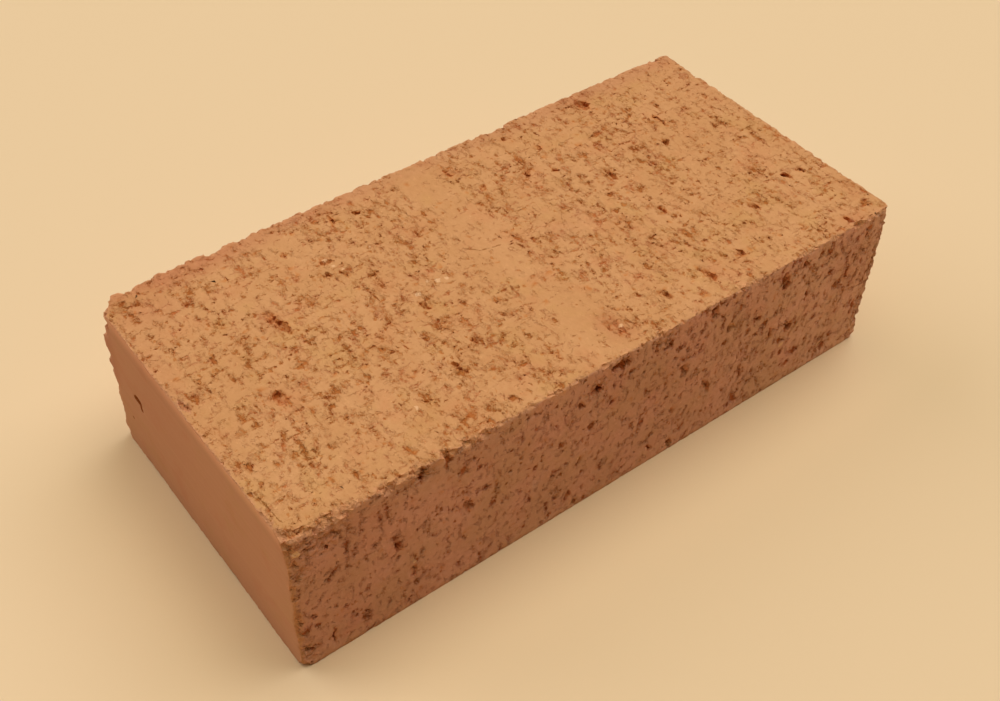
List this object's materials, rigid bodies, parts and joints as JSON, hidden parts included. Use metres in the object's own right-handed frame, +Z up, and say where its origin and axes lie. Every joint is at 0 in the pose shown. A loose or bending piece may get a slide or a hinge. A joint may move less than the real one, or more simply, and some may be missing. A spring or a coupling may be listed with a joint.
{
  "type": "clay brick",
  "caption": "Solid extruded clay brick: smooth headers, torn wire-cut beds, dragged stretchers and crumbled arrises.",
  "frame": {"origin": "middle of the underside, on the floor that the brick lies on", "axes": "+X along the length, +Y across the width towards the back stretcher, +Z up out of the upper bed"},
  "size_m": [0.25, 0.12, 0.065],
  "materials": {
    "fired_clay": "matte, dry fired clay"
  },
  "bodies": {
    "root": {"brick": "fired_clay"}
  },
  "joints": []
}
